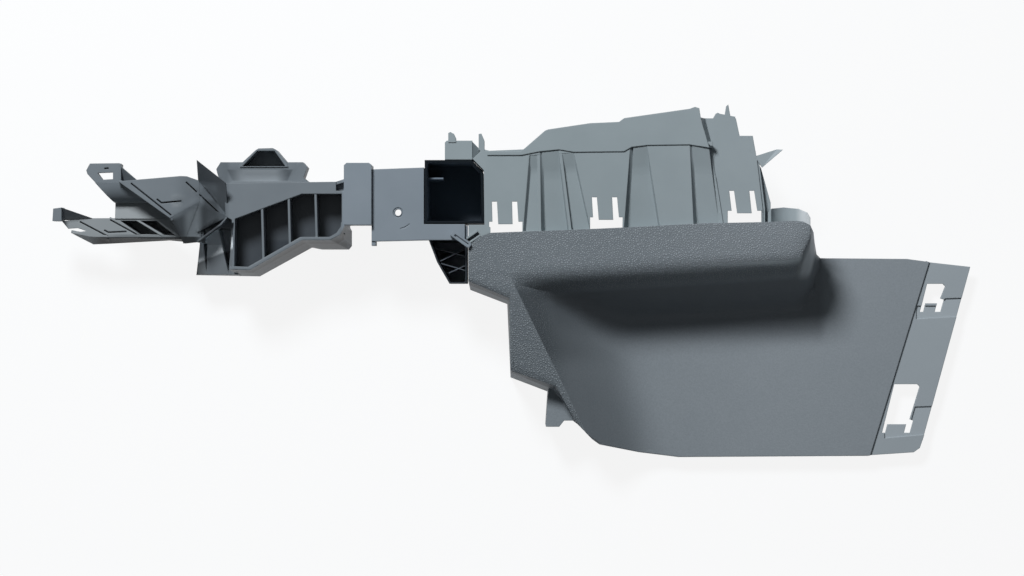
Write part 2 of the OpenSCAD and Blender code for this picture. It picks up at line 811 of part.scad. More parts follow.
// The box's left end: a lower floor that falls to its front edge, with two wedge slots, and two
// ribs across it
end_z = -26;
end_fall = 8;
end_head = [[-118.5, -2.4], [-119, -25.3], [-122.6, -49.5], [-89, -49.5]];
end_foot = [[-122, -2], [-123, -25.3], [-127, -49.8], [-89, -50.5]];
wedge_slots = [
    [[-116, -24.4], [-112.8, -24.4], [-114.4, -47.2]],
    [[-103.8, -12], [-93.6, -12], [-93.6, -24], [-96.5, -48]]
];
slant_ribs = [[[-118.5, -15.5], [-99.5, -2.9]], [[-118.5, -23.8], [-99.5, -9.8], [-91, 0]]];
slant_rib_top = -8.5;
module left_end() {
    difference() {
        union() {
            slab([[-119, -25.6], [-89, -25.6], [-89, -1], [-118.5, -2.4]], end_z, wall);
            sloped_plate(
                [
                    [-119, -25.3, end_z], [-122.6, -49.5, end_z - end_fall],
                    [-89, -49.5, end_z - end_fall], [-89, -25.3, end_z]
                ],
                wall
            );
        }
        for (slot = wedge_slots)
            slab(slot, over, lie_height + 2 * over);
    }
    flared_wall(end_head, end_foot,
        [end_z - 0.5, end_z - 0.5, end_z - end_fall - 0.5, end_z - end_fall - 0.5], table, wall * 1.4);
    for (path = slant_ribs)
        wall_along(path, end_z - 1, slant_rib_top, 1.4);
    wall_along([[-89, -1], [-119, -2]], table + 1, end_z - 0.5, wall);
}

// The plate behind the deck, with a round-cornered cradle let into it
cradle = [
    [-91, 25.2], [-41.5, 25.2], [-42, 30], [-46, 34], [-50, 35.5], [-83, 35.5], [-87, 34], [-90.5, 30]
];
cradle_bed = [
    [-83, 25.4], [-49, 25.4], [-49.5, 28], [-51.5, 30.2], [-54, 31], [-79, 31], [-81, 30.2], [-82.5, 28]
];
cradle_depth = 3.5;
hood_rise = 1;
hood_depth = 22;
rear_outline = [
    [-99, 22], [-28, 22], [-28, 24], [-33, 28], [-30, 36.5], [-33.5, 40.5], [-99.5, 40.5], [-103, 35],
    [-102, 31]
];
rear_z = -5;
module rear_plate() {
    difference() {
        union() {
            slab(rear_outline, rear_z, wall);
            slab(grow(cradle, rib), rear_z - 0.1, cradle_depth + rib);
        }
        tapered(cradle_bed, rear_z - cradle_depth, cradle, rear_z + 0.1);
    }
    wall_along(concat([for (i = [2:8]) rear_outline[i]], [rear_outline[0]]),
        rear_z - 20, rear_z - wall / 2, wall);
}

// The hooded pocket at the box's back, open towards the show face
hood_outline = [
    [-84, 36], [-83.5, 38.8], [-71.5, 50], [-69, 51.5], [-57.5, 51.8], [-55, 50.5], [-46.5, 40.5], [-45, 36]
];
hood_mouth = [[-82, 37.2], [-47.5, 37.2], [-56.2, 49.6], [-70, 49.6]];
module hood() {
    difference() {
        slab(hood_outline, rear_z + hood_rise, hood_depth);
        slab([[-90, 30], [-40, 30], [-40, 36.6], [-90, 36.6]], rear_z + hood_rise + over, hood_rise + over);
    }
}

// Fork, in its own frame with x from the ribbed box's left end
fork_x = box_x - 95;
arm_z = -lower_arm_depth;
plate_corner = [-44.5, -4.5];
main_plate = [[-86, 25], plate_corner, [-21, 8.2], [-21, 25.5], [-31, 29], [-36, 29.2]];
bend_low = [-35, -24.5];
bend_end = [-21, -23];
bend_fall = 12;
lower_brow = [[-127.5, -16], [-112, -19], [-98, -20.2], [-66, -19.4], [-38, -20.5]];
lower_lip = [[-127.5, -16.6], [-111, -25], [-97, -24.4], [-49, -21.8], [-36, -23]];
lower_plate = concat(
    [[-134.5, -6.5], [-129.5, -12.5], [-122, -12], [-115, -14.3]],
    lower_brow,
    [[-21.4, -22], [-21.4, -3.5], [-115, -4]]
);
lower_pockets = [
    [[-87.5, -6], [-70, -18.5], [-53.5, -18.8], [-74.5, -6]],
    [[-71.5, -6], [-50.5, -18.5], [-41.5, -19], [-58.5, -6]]
];
lower_pocket_depth = 28;
roll_steps = 6;

// A narrow groove in a rib that backs it, so the plate keeps its thickness
groove_w = 1.2;
groove_d = 3;
module groove_rib(path, top) {
    rib_path = extended(shifted(path, (groove_w / 2 + 1.2) * right_of(path[0], path[1])), 1.2);
    slab(band(rib_path, groove_w + 2.4), top - 0.2, groove_d + fork_wall - 0.2);
}
module groove(path, top) {
    slab(band(shifted(path, groove_w / 2 * right_of(path[0], path[1])), groove_w),
        top + over, over + groove_d);
}

upper_grooves = [[[-98, 35.5], [-94.5, 35.8]]];
prong_outline = [
    [-112.5, 34], [-111.5, 31], [-105, 24], [-84.6, 24], [-84.6, 38.8], [-86, 39.8], [-109.5, 39.5]
];
prong_window = [[-99.5, 26.5], [-91, 27], [-91, 32.5], [-103.5, 32]];
module upper_prong() {
    difference() {
        union() {
            slab(prong_outline, -6, fork_wall);
            wall_along([[-84.6, 39.5], [-109.5, 39.5], [-112.5, 34], [-111.5, 31]], -10, -6.4, fork_wall);
            slab(grow(prong_window, 1.2), -6.4, 6.6);
            for (path = upper_grooves)
                groove_rib(path, -6);
        }
        slab(prong_window, 0, 20);
        for (path = upper_grooves)
            groove(path, -6);
    }
    for (i = [0:roll_steps - 1])
        let (a = 90 * i / roll_steps, b = 90 * (i + 1) / roll_steps)
        sloped_plate(
            [
                [-105.5 + 14 * sin(a), 24.2 - 16 * sin(a), -6 - 15 * (1 - cos(a))],
                [-105.5 + 14 * sin(b), 24.2 - 16 * sin(b), -6 - 15 * (1 - cos(b))],
                [-78 + 22 * sin(b), 24.2 - 16 * sin(b), -6 - 15 * (1 - cos(b))],
                [-78 + 22 * sin(a), 24.2 - 16 * sin(a), -6 - 15 * (1 - cos(a))]
            ],
            fork_wall + 3 * i / roll_steps
        );
    sloped_plate(
        [[-91.5, 8.6, arm_z - 1], [-91.5, -4.5, arm_z + 1], [-36, -4.5, arm_z + 1], [-53, 8.6, arm_z - 1]],
        fork_wall + 1
    );
    sloped_plate([[-86, 38.5, -5], [-86, 24.5, -15], [-71, 26, -1.2]], fork_wall);
    wall_along([[-86, 39], [-86, 24.5]], -16, -5, 1.6);
}

lower_grooves = [
    [[-120, -6.8], [-97.2, -18.8]],
    [[-95.6, -5.2], [-72.4, -18]],
    [[-100.4, -13.6], [-97, -15.4], [-82, -14.8]]
];
module lower_prong() {
    difference() {
        union() {
            slab(lower_plate, arm_z, fork_wall);
            for (q = lower_pockets)
                slab(grow(q, rib), arm_z - 0.1, lower_pocket_depth + rib);
            for (path = lower_grooves)
                groove_rib(path, arm_z);
        }
        for (q = lower_pockets)
            slab(q, arm_z + over, lower_pocket_depth + over);
        for (path = lower_grooves)
            groove(path, arm_z);
    }
    flared_wall(shifted(lower_brow, [0.2, 0.5]), lower_lip, arm_z - 0.4, arm_z - 11, fork_wall);
    slab([[-140, -6.6], [-132.7, -6.6], [-132.7, 4.3], [-139.4, 3.4]], arm_z + 12, 14);
    sloped_plate([[-133, 4.3, arm_z + 12], [-133, -5.5, arm_z + 0.5], [-110, -4, arm_z + 0.5]], fork_wall);
    wall_along([[-112, -3.5], [-140, -3.5]], arm_z - 8, arm_z - 0.2, fork_wall);
}

plate_grooves = [
    [[-75.6, 23.4], [-43.4, -2.2]], [[-31.6, 24.4], [-23, 16.5]], [[-55, 10.8], [-51, 7.6], [-34.8, 9.2]]
];
module fork_plate() {
    difference() {
        union() {
            slab(main_plate, 0, fork_wall);
            for (path = plate_grooves)
                groove_rib(path, 0);
        }
        for (path = plate_grooves)
            groove(path, 0);
    }
    // The plate's lower part bends down to its free edge
    sloped_plate(
        [concat(plate_corner + [-0.2, 0.2], 0), concat(bend_low, 1 - bend_fall), [-21, 8.4, 0]], fork_wall
    );
    sloped_plate(
        [concat(bend_low - [0.6, 0], 1 - bend_fall), concat(bend_end, -1 - bend_fall), [-21, 9.4, 0]],
        fork_wall
    );
    difference() {
        sloped_plate([[-21.6, 25.3, 0], [-21.6, 7.8, 0], [1, -3, -9]], fork_wall + 1);
        sloped_plate(
            [[-23.4, 16.1, 1.7], [-4.4, -2.4, -5.8], [-3.6, -1.6, -6.2], [-22.6, 16.9, 1.4]], 2.8
        );
    }
    sloped_plate([[-21.6, 8, 0], [-21.6, -14.5, -8.5], [1, -3, -9]], fork_wall);
    wall_along([[-86, 25], plate_corner, [-43.5, -6.6]], arm_z - 2, -0.4, fork_wall);
    flared_wall([plate_corner, bend_low, bend_end], [plate_corner, bend_low, bend_end],
        [-0.4, 0.6 - bend_fall, -1.4 - bend_fall], arm_z - 2, fork_wall);
    flared_wall([[-18.8, -24], [-18.8, 7.5], [-18.8, 23]], [[-18.8, -24], [-18.8, 7.5], [-18.8, 23]],
        [-2 - bend_fall, -2.2, -2.2], arm_z - 6, fork_wall);
}

// The upright fin that leans over the plate's right side
module fin() {
    root = [-22, 25.5, -0.5];
    heel = [1, -3, -9];
    tip = [-20.5, 41, fin_height];
    shoulder = [2, 23, fin_height - 6];
    sloped_plate([root, heel, shoulder], fork_wall);
    sloped_plate([root, shoulder, tip], fork_wall);
}

module fork() {
    fork_plate();
    lower_prong();
    upper_prong();
    fin();
}

// The wing below the rail, a shallow tray with crossed ribs
wing_right = panel_x - 1.2 - clearance;
wing_outline = [[wing_right - 14, -57], [wing_right, -57], [wing_right, -21], [24, -21], [31, -39.5]];
wing_top = -6;
wing_depth = 56;
wing_wall = 1.3;
crossed_rib_drop = 9;
module crossed_rib(a, b) {
    slab(band([a, b], 0.8), wing_top - crossed_rib_drop, wing_depth - crossed_rib_drop - 2);
}
module ribbed_wing() {
    difference() {
        slab(wing_outline, wing_top, wing_depth);
        slab(grow(wing_outline, -wing_wall), wing_top + over, wing_depth - wall + over);
    }
    crossed_rib([28, -28.5], [wing_right - 0.5, -35.5]);
    crossed_rib([wing_right - 0.5, -28], [33, -38.5]);
    crossed_rib([34, -41], [wing_right - 0.5, -47]);
    crossed_rib([wing_right - 0.5, -41.5], [40, -48]);
}

// The strap that reaches from the rail over the panel's corner, with a ridge along each side
strap_width = 4.6;
module strap() {
    from = [43.2, -16.6];
    to = [panel_x + 1.6, -27.2];
    side = strap_width / 2 * right_of(from, to);
    along = unit(to - from);
    top = ledge_height + clearance + 2.6;
    difference() {
        slab([from - side, from + side, to + side - 1.4 * along, to + 0.6 * side, to - 0.6 * side,
            to - side - 1.4 * along], top, 2.6);
        slab([from + 3 * along - 0.35 * side, from + 3 * along + 0.35 * side, to - 2 * along + 0.35 * side,
            to - 2 * along - 0.35 * side], top + over, over + 1.4);
    }
    slab([from - side, from + side, from + side + 4 * along, from - side + 4 * along], top - 1, top);
}

module support_arm() {
    color(arm_grey) {
        rail();
        block();
        ribbed_wing();
        strap();
        translate([box_x, 0, 0])
            ribbed_box();
        translate([fork_x, 0, 0])
            fork();
    }
}

// Pocket insert, with a short rib on its left wall
pocket_outline = [
    [rail_right + clearance, pocket_low + clearance],
    [rail_right + pocket_width, pocket_low + clearance],
    [rail_right + pocket_width - 1, pocket_high - 9],
    [rail_right + pocket_width - 10, pocket_high],
    [rail_right + clearance, pocket_high]
];
pocket_rim = -0.5;
module pocket_insert() {
    color(pocket_black) {
        difference() {
            slab(pocket_outline, pocket_rim, lie_height + pocket_rim);
            slab(grow(pocket_outline, -pocket_wall), pocket_rim + over,
                lie_height + pocket_rim - pocket_wall + over);
        }
        translate([rail_right + 1, pocket_low + 36, table + 1])
            cube([14, 1.4, lie_height - 12]);
    }
}

side_panel();
support_arm();
pocket_insert();
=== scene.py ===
import math

import bmesh
import bpy
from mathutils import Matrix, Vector


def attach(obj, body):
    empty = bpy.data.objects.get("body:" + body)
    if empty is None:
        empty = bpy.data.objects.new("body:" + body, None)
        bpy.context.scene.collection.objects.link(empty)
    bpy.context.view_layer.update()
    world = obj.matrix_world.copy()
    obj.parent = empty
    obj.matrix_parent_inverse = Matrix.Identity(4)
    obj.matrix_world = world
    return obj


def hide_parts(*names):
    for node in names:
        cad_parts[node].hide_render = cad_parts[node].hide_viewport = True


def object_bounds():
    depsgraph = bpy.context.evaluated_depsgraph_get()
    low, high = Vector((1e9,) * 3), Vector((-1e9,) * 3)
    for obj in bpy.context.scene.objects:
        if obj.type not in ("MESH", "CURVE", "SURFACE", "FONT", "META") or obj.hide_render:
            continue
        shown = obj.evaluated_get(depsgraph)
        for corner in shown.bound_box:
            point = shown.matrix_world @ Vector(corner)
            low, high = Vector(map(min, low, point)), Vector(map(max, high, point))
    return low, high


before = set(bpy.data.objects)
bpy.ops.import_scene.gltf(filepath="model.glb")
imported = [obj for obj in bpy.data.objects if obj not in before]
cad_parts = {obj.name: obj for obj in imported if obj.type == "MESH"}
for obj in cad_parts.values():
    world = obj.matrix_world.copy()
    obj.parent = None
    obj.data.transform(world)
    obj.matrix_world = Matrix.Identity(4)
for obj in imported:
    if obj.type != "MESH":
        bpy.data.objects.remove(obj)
cad_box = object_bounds()

# Side panel
#
# The grained half of the trim: one slate grey polypropylene moulding. The mould is etched with
# leather grain for the ledge and the strip beside the recess, and with a finer grain for the
# recess itself. The plates behind are smooth, and every edge leaves the mould a little rounded.


class Value:
    """A socket of a finish that takes part in Python sums."""

    def __init__(self, finish, socket):
        self.finish = finish
        self.socket = socket

    def __add__(self, other):
        return self.finish.calculate("ADD", self, other)

    __radd__ = __add__

    def __sub__(self, other):
        return self.finish.calculate("SUBTRACT", self, other)

    def __rsub__(self, other):
        return self.finish.calculate("SUBTRACT", other, self)

    def __mul__(self, other):
        return self.finish.calculate("MULTIPLY", self, other)

    __rmul__ = __mul__


class Finish:
    """The nodes of a material or of the world. Its node method makes any kind of node."""

    def __init__(self, owner):
        owner.use_nodes = True
        self.owner = owner
        self.tree = owner.node_tree
        self.tree.nodes.clear()

    def node(self, kind, settings, inputs, output=0):
        """A new node's output. An output node has none."""
        made = self.tree.nodes.new(kind)
        for name, value in settings.items():
            setattr(made, name, value)
        for key, value in inputs.items():
            if isinstance(value, Value):
                self.tree.links.new(value.socket, made.inputs[key])
            else:
                made.inputs[key].default_value = value
        return Value(self, made.outputs[output]) if made.outputs else None

    def calculate(self, operation, first, second):
        return self.node("ShaderNodeMath", {"operation": operation}, {0: first, 1: second})

    def greater(self, first, second):
        return self.calculate("MAXIMUM", first, second)

    def place(self):
        return self.node("ShaderNodeTexCoord", {}, {}, "Object")

    def axes(self, vector):
        return [self.node("ShaderNodeSeparateXYZ", {}, {0: vector}, n) for n in "XYZ"]

    def noise(self, place, per_metre, detail):
        return self.node(
            "ShaderNodeTexNoise", {}, {"Vector": place, "Scale": per_metre, "Detail": detail}
        )

    def from_cell_edge(self, place, per_metre):
        """How far a point is from the edge of its cell, in cells."""
        return self.node(
            "ShaderNodeTexVoronoi", {"feature": "DISTANCE_TO_EDGE"},
            {"Vector": place, "Scale": per_metre},
        )

    def rise(self, value, low, high, to_low=0.0, to_high=1.0):
        """The value's range from low to high, moved softly to another range."""
        return self.node(
            "ShaderNodeMapRange", {"interpolation_type": "SMOOTHSTEP"},
            {"Value": value, "From Min": low, "From Max": high, "To Min": to_low,
             "To Max": to_high},
        )

    def fall(self, value, low, high):
        """1 up to low and 0 from high on."""
        return self.rise(value, low, high, 1.0, 0.0)

    def between(self, value, start, end):
        """1 between two soft borders, each given by the values where it begins and ends."""
        return self.rise(value, *start) * self.fall(value, *end)

    def tint(self, factor, first, second):
        """The first colour moved towards the second by the factor."""
        ends = [(*c, 1.0) if isinstance(c, tuple) else c for c in (first, second)]
        return self.node(
            "ShaderNodeMix", {"data_type": "RGBA"}, {0: factor, 6: ends[0], 7: ends[1]}, 2
        )

    def relief(self, height, depth, soft_folds=None):
        """The moulded surface's small bumps, over edges that leave the mould a little rounded.

        Where the mask of soft folds is 1, light passes over an edge as over a wide curve.
        """
        edge_radius = 0.0009
        fold_radius = 0.007
        rounded = self.node("ShaderNodeBevel", {"samples": 4}, {"Radius": edge_radius})
        if soft_folds:
            wide = self.node("ShaderNodeBevel", {"samples": 8}, {"Radius": fold_radius})
            rounded = self.node(
                "ShaderNodeMix", {"data_type": "VECTOR"}, {0: soft_folds, 4: rounded, 5: wide}, 1
            )
        return self.node(
            "ShaderNodeBump", {},
            {"Height": height, "Distance": depth, "Strength": 1.0, "Normal": rounded},
        )

    def plastic(self, colour, roughness, normal, gloss):
        surface = self.node(
            "ShaderNodeBsdfPrincipled", {},
            {"Base Color": colour, "Roughness": roughness, "Specular IOR Level": gloss,
             "Normal": normal},
        )
        self.node("ShaderNodeOutputMaterial", {}, {"Surface": surface})


def shade(red, green, blue):
    """A colour as a picture shows it, each part above 10, as a shader's linear values."""
    return tuple(((c / 255 + 0.055) / 1.055) ** 2.4 for c in (red, green, blue))


def moulded_copy(node, name, sharp_degrees=30, lifts=(), added=()):
    """A node's skin with its triangles joined, smooth where the form bends softly.

    A lift is a box's two corners and how far the points inside it rise. The added meshes are
    small forms of the same moulding.
    """
    joining_distance = 2e-6
    form = bmesh.new()
    form.from_mesh(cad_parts[node].data)
    for mesh in added:
        form.from_mesh(mesh)
    bmesh.ops.remove_doubles(form, verts=form.verts[:], dist=joining_distance)
    for low, high, lift in lifts:
        for point in form.verts:
            if all(a < c < b for a, c, b in zip(low, point.co, high)):
                point.co.z += lift
    limit = math.radians(sharp_degrees)
    for face in form.faces:
        face.smooth = True
    for edge in form.edges:
        edge.smooth = len(edge.link_faces) == 2 and edge.calc_face_angle() < limit
    mesh = bpy.data.meshes.new(name)
    form.to_mesh(mesh)
    form.free()
    piece = bpy.data.objects.new(name, mesh)
    bpy.context.collection.objects.link(piece)
    return piece


def closed_mesh(name, form):
    """The mesh of a small closed form, with its faces turned outwards."""
    bmesh.ops.recalc_face_normals(form, faces=form.faces[:])
    bmesh.ops.triangulate(form, faces=form.faces[:])
    mesh = bpy.data.meshes.new(name)
    form.to_mesh(mesh)
    form.free()
    return mesh


def panel_areas(f, x, y, z):
    """Masks of the panel's areas, each 1 inside and 0 outside."""
    # The strip lies left of the slanting crease, the ramp right of it. The flange starts at
    # its own slanting line.
    crease_start = 0.0649
    crease_lean = 0.4865
    past_crease = x + y * crease_lean - crease_start
    flange_corner = Vector((0.434, -0.039))
    flange_lean = 0.305
    past_flange_line = x - flange_corner.x - (y - flange_corner.y) * flange_lean
    flange = f.rise(past_flange_line, -0.0005, 0.0005) * f.fall(z, -0.054, -0.053)
    strip = f.fall(past_crease, -0.001, 0.001) * f.fall(y, -0.052, -0.045)
    strip = strip * f.rise(z, -0.024, -0.022)
    ramp = f.between(past_crease, (-0.0005, 0.0005), (0.0, 0.075)) * f.fall(y, -0.066, -0.05)

    # Leather grain covers the strip, the ledge and the upper part of the ledge's front
    ledge = f.rise(z, 0.0095, 0.0105)
    front = f.rise(z, -0.014, 0.002) * f.fall(y, -0.045, -0.035)
    grained = f.greater(f.greater(strip, ledge), front)

    # The show face is the grained part and all that lies below the ledge, but not the flange
    beside_ledge = f.rise(x, 0.318, 0.322) * f.fall(y, -0.016, -0.008)
    below_ledge = f.greater(f.fall(y, -0.045, -0.04), beside_ledge)
    show_face = f.greater(grained, below_ledge) * (1.0 - flange)
    recess = (1.0 - grained) * below_ledge
    return {"strip": strip, "ramp": ramp, "flange": flange, "grained": grained,
            "show_face": show_face, "recess": recess}


def recess_painted_light_and_shade(f, x, y, z, colour, area, painted_shade):
    """Painted shade on the ramp, under the ledge and below the strip.

    The wall at the ledge's right end is paler, with painted light.
    """
    ramp_shade = area["ramp"] * f.rise(y, -0.128, -0.108, 0.35, 0.66)
    colour = f.tint(ramp_shade, colour, painted_shade)
    under_ledge = f.fall(z, -0.012, -0.002) * f.rise(y, -0.11, -0.09) * area["recess"]
    under_ledge = under_ledge * f.fall(x, 0.342, 0.352) * f.rise(y + x * 0.5, -0.036, -0.004)
    colour = f.tint(under_ledge * 0.45, colour, shade(22, 28, 36))
    end_wall = f.between(x, (0.318, 0.326), (0.346, 0.35)) * f.rise(y, -0.056, -0.046)
    end_wall = end_wall * f.between(z, (-0.036, -0.018), (0.003, 0.009))
    colour = f.tint(end_wall * 0.8, colour, shade(196, 202, 206))
    strip_slope = 0.225
    below_strip = f.fall(z - y * strip_slope, 0.0222, 0.0235)
    strip_wall = below_strip * area["strip"] * f.rise(x, 0.05, 0.055)
    return f.tint(strip_wall * 0.4, colour, shade(30, 38, 46))


def panel_finish():
    f = Finish(bpy.data.materials.new("grained_slate_plastic"))
    place = f.place()
    x, y, z = f.axes(place)
    area = panel_areas(f, x, y, z)
    leather = f.rise(f.from_cell_edge(place, 640), 0.03, 0.35)
    pebbles = leather + f.noise(place, 900, 3) * 0.5
    fine = f.noise(place, 800, 3)
    fine_share = 0.4
    smooth_show = (1.0 - area["grained"]) * area["show_face"]
    height = pebbles * area["grained"] + fine * smooth_show * fine_share

    painted_shade = shade(44, 50, 55)
    mottle = f.noise(place, 35, 3)
    plates = f.tint(mottle, shade(121, 132, 137), shade(131, 142, 147))
    faces = f.tint(mottle, shade(108, 117, 123), shade(120, 128, 134))
    speckled = f.tint(fine, shade(94, 102, 108), shade(134, 142, 149))
    grained = f.tint(leather, shade(96, 104, 110), shade(128, 136, 142))
    # Painted shade: the grain grows darker towards the ledge's left end
    grained = f.tint(f.rise(x, 0.05, 0.13, 0.14, 0.0), grained, painted_shade)
    show_face = f.tint(area["grained"], f.tint(0.5, faces, speckled), grained)
    colour = f.tint(area["show_face"], plates, show_face)
    # Painted light: the panel grows paler towards its right end, and the flange paler still
    colour = f.tint(f.rise(x, 0.14, 0.34) * 0.15, colour, shade(180, 188, 196))
    colour = f.tint(area["flange"] * 0.4, colour, shade(180, 189, 197))
    colour = recess_painted_light_and_shade(f, x, y, z, colour, area, painted_shade)

    ledge_end = f.between(x, (0.31, 0.316), (0.34, 0.346))
    ledge_end = ledge_end * f.between(y, (-0.066, -0.058), (-0.022, -0.015))
    rough = f.rise(fine, 0.2, 0.8, 0.46, 0.56)
    grain_depth = 0.0003
    f.plastic(colour, rough, f.relief(height, grain_depth, ledge_end), 0.2)
    return f.owner


def channel_ramp(upper_left, upper_right, left_lean, right_lean):
    """The short slope at a channel's upper end, from the channel's floor up to the plate.

    A lean is how far its side moves to the right on the way down.
    """
    plate_top = 0.0059
    floor_height = 0.0012
    run = 0.022
    skin = 0.0012
    form = bmesh.new()
    corners = [
        Vector((*upper_left, plate_top)), Vector((*upper_right, plate_top)),
        Vector((upper_right[0] + right_lean, upper_right[1] - run, floor_height)),
        Vector((upper_left[0] + left_lean, upper_left[1] - run, floor_height)),
    ]
    above = [form.verts.new(c) for c in corners]
    under = [form.verts.new(c - Vector((0.0, 0.0, skin))) for c in corners]
    form.faces.new(above)
    form.faces.new(under)
    for k in range(len(corners)):
        form.faces.new((above[k], above[k - 1], under[k - 1], under[k]))
    return closed_mesh("channel_ramp", form)


# Five channels of the mounting plate run out in a short slope below the upper flange: the
# slope's two upper corners, and the leans of its sides
channel_heads = [
    ((0.1060, 0.0453), (0.1135, 0.0478), -0.0012, 0.0003),
    ((0.1150, 0.0482), (0.1285, 0.0494), 0.0010, 0.0025),
    ((0.1295, 0.0466), (0.1405, 0.0474), 0.0028, 0.0045),
    ((0.1880, 0.0518), (0.1990, 0.0529), -0.0010, 0.0030),
    ((0.2348, 0.0537), (0.2483, 0.0532), 0.0012, 0.0030),
]

# The tab on the box behind the pocket is low, and the lug below the strip lies just under it
low_tab = ((0.039, 0.055, 0.0050), (0.048, 0.066, 0.0070), -0.0054)
high_lug = ((0.117, -0.177, -0.0390), (0.147, -0.140, -0.0355), 0.009)
panel = moulded_copy(
    "side_panel", "panel_moulding",
    lifts=[low_tab, high_lug], added=[channel_ramp(*head) for head in channel_heads],
)
panel.data.materials.append(panel_finish())
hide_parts("side_panel")
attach(panel, "root")

# Support arm
#
# The second moulding, of the same grey plastic but polished smooth. It carries the rail with
# its screw hole, the ribbed box and the fork, and its strap laps over the panel's corner.


def wedge_cup(name, outline, rims):
    """A closed pocket below a slot of the arm, with its rim's height given at each corner."""
    wall = 0.0008
    bottom = -0.05
    middle = sum((Vector(p) for p in outline), Vector((0.0, 0.0))) / len(outline)
    outside = [Vector(p) + (Vector(p) - middle).normalized() * wall for p in outline]
    form = bmesh.new()
    rings = [
        [form.verts.new((x, y, bottom - wall)) for x, y in outside],
        [form.verts.new((x, y, z)) for (x, y), z in zip(outside, rims)],
        [form.verts.new((x, y, z)) for (x, y), z in zip(outline, rims)],
        [form.verts.new((x, y, bottom)) for x, y in outline],
    ]
    for near, far in zip(rings, rings[1:]):
        for k in range(len(outline)):
            form.faces.new((near[k], near[k - 1], far[k - 1], far[k]))
    form.faces.new(rings[0])
    form.faces.new(rings[-1])
    return closed_mesh(name, form)


def fork_painted_shade(f, x, y, z, colour, low_fork):
    """Painted shade on the fork: beside its fin, on its front prong and on the prong's lower wall.
    """
    by_fin = f.between(x, (-0.182, -0.166), (-0.138, -0.134))
    bent = f.between(z, (-0.0155, -0.0145), (-0.0025, -0.0003)) * f.fall(y, 0.008, 0.013)
    bent = bent * f.between(x, (-0.19, -0.184), (-0.147, -0.14))
    sides = f.rise(x, -0.162, -0.156) + f.fall(x, -0.174, -0.167)
    colour = f.tint(by_fin * (1.0 - bent) * 0.3, colour, shade(28, 36, 44))
    # The bent plate: painted light in its middle, painted shade at its two sides
    colour = f.tint(bent, colour, f.tint(sides, shade(108, 116, 122), shade(62, 68, 73)))
    front_prong = low_fork * f.rise(x, -0.245, -0.22) * f.fall(y, -0.0178, -0.0165)
    colour = f.tint(front_prong * 0.5, colour, shade(60, 66, 70))
    prong_wall = f.between(x, (-0.252, -0.24), (-0.165, -0.155)) * f.fall(y, -0.0196, -0.0186)
    return f.tint(prong_wall, colour, shade(30, 34, 37))


def box_painted_light_and_shade(f, x, y, z, colour, left_part):
    """Painted shade on the cell floors, front wall and trough ends; painted light on the end floor
    and trough middle.
    """
    cell_floors = f.rise(x, -0.134, -0.132) * left_part * f.fall(y, 0.014, 0.018)
    cell_floors = cell_floors * f.between(z, (-0.028, -0.026), (-0.022, -0.006))
    colour = f.tint(cell_floors, colour, shade(52, 58, 64))
    front_wall = f.rise(x, -0.13, -0.09) * left_part * f.fall(y, -0.024, -0.02)
    front_wall = front_wall * f.fall(z, -0.006, -0.003)
    colour = f.tint(front_wall * 0.6, colour, shade(28, 36, 44))
    end_floor = f.between(x, (-0.1655, -0.1635), (-0.1325, -0.1315)) * f.fall(y, -0.014, -0.011)
    end_floor = end_floor * f.fall(z, -0.022, -0.02)
    # The painted light is strongest where the fork's shadow falls on the end floor
    shadow_lean = 0.4
    end_floor = end_floor * f.rise(y - x * shadow_lean, 0.0245, 0.0275, 0.1, 1.0)
    colour = f.tint(end_floor, colour, shade(214, 222, 228))
    end_lean = 0.5
    trough = f.rise(x + y * end_lean, -0.121, -0.119) * f.fall(x - y * end_lean, -0.103, -0.101)
    trough = trough * f.between(y, (0.0245, 0.0265), (0.034, 0.0352))
    middle = f.between(x, (-0.138, -0.122), (-0.1, -0.086))
    colour = f.tint(trough * middle * 0.25, colour, shade(180, 188, 194))
    return f.tint(trough * (1.0 - middle) * 0.55, colour, shade(34, 40, 46))


def wing_painted_light_and_shade(f, x, y, z, colour):
    """Painted shade on the wing's grey plastic, darkest at the crossed ribs' tops, with painted
    light on its floor where it faces up.
    """
    wing = f.rise(x, 0.025, 0.027) * f.fall(y, -0.0235, -0.0225) * f.fall(z, -0.005, -0.004)
    normal = f.node("ShaderNodeNewGeometry", {}, {}, "Normal")
    facing_up = f.rise(f.axes(normal)[2], 0.3, 0.7)
    deep = f.tint(facing_up, shade(60, 68, 76), shade(200, 212, 224))
    crossed = f.tint(f.rise(z, -0.03, -0.02), deep, shade(72, 80, 88))
    topped = f.tint(f.rise(z, -0.011, -0.009), crossed, shade(30, 37, 43))
    return f.tint(wing, colour, topped)


def arm_finish():
    f = Finish(bpy.data.materials.new("smooth_slate_plastic"))
    place = f.place()
    x, y, z = f.axes(place)
    mottle = f.noise(place, 30, 3)
    # One plastic in lit and shaded copies, as painted light and shade: darker on the left part than
    # on the rail, paler on the low prong
    rail = f.tint(mottle, shade(106, 116, 125), shade(118, 128, 137))
    deck = f.tint(mottle, shade(91, 99, 106), shade(103, 111, 117))
    prong = f.tint(mottle, shade(117, 124, 128), shade(127, 133, 137))
    left_part = f.fall(x, -0.046, -0.043)
    low_fork = f.fall(x, -0.16, -0.155) * f.fall(z, -0.019, -0.014)
    colour = f.tint(low_fork, f.tint(left_part, rail, deck), prong)
    colour = fork_painted_shade(f, x, y, z, colour, low_fork)
    colour = box_painted_light_and_shade(f, x, y, z, colour, left_part)
    colour = wing_painted_light_and_shade(f, x, y, z, colour)

    # The fork's plate bends softly, so the light on its folds is soft
    folds = f.between(x, (-0.184, -0.178), (-0.148, -0.142)) * f.rise(z, -0.0155, -0.0145)
    folds = folds * f.between(y, (-0.022, -0.016), (0.018, 0.024))
    fine = f.noise(place, 1400, 2)
    fine_depth = 0.00003
    f.plastic(colour, f.rise(fine, 0.2, 0.8, 0.4, 0.5), f.relief(fine, fine_depth, folds), 0.2)
    return f.owner


